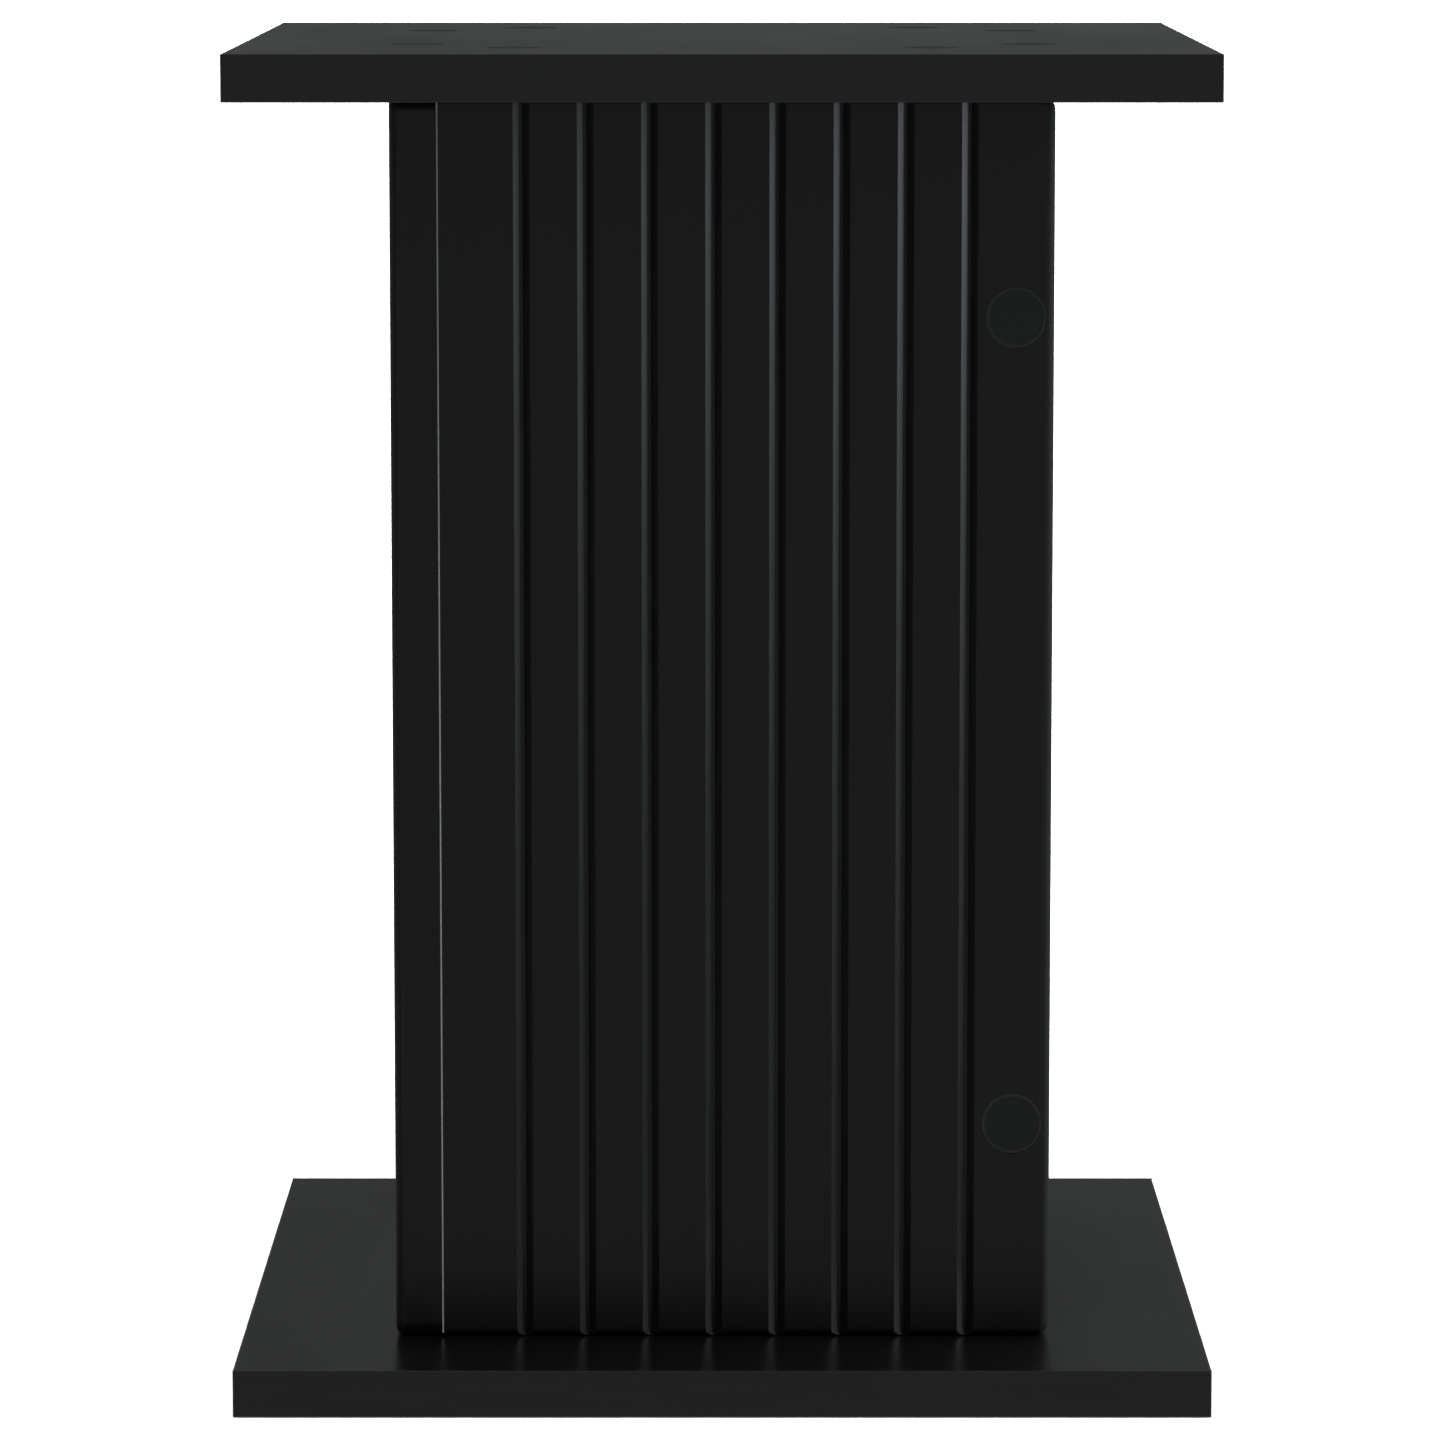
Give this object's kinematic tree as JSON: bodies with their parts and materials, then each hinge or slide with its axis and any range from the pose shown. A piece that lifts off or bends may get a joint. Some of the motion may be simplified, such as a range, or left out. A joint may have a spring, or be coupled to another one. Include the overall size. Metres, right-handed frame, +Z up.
{
  "type": "display plinth",
  "caption": "Black square display plinth: a grooved hollow column between two equal square plates, screwed and dowelled, screw heads under round cover caps.",
  "frame": {"origin": "middle of the base plate's underside, on the floor", "axes": "+Z up; the front side, whose left edge shows the next panel's end, faces -Y; +X is to the right seen from the front"},
  "size_m": [0.31, 0.31, 0.43],
  "materials": {
    "board": "black melamine, satin",
    "fluted_board": "black foil over grooved fibreboard, satin",
    "edge_band": "black edge band, satin",
    "cover_plastic": "black cover cap, matt",
    "screw_steel": "zinc-plated",
    "dowel_wood": "plain beech"
  },
  "bodies": {
    "root": {"top_plate": "board", "base_plate": "board", "top_plate_band_front": "edge_band", "top_plate_band_right": "edge_band", "top_plate_band_back": "edge_band", "top_plate_band_left": "edge_band", "base_plate_band_front": "edge_band", "base_plate_band_right": "edge_band", "base_plate_band_back": "edge_band", "base_plate_band_left": "edge_band", "panel_front": "fluted_board", "panel_right": "fluted_board", "panel_back": "fluted_board", "panel_left": "fluted_board", "panel_front_screws": "screw_steel", "panel_right_screws": "screw_steel", "panel_back_screws": "screw_steel", "panel_left_screws": "screw_steel", "top_plate_screws": "screw_steel", "base_plate_screws": "screw_steel", "panel_front_covers": "cover_plastic", "panel_right_covers": "cover_plastic", "panel_back_covers": "cover_plastic", "panel_left_covers": "cover_plastic", "top_plate_covers": "cover_plastic", "top_dowels": "dowel_wood", "base_dowels": "dowel_wood", "corner_dowels": "dowel_wood"}
  },
  "joints": []
}
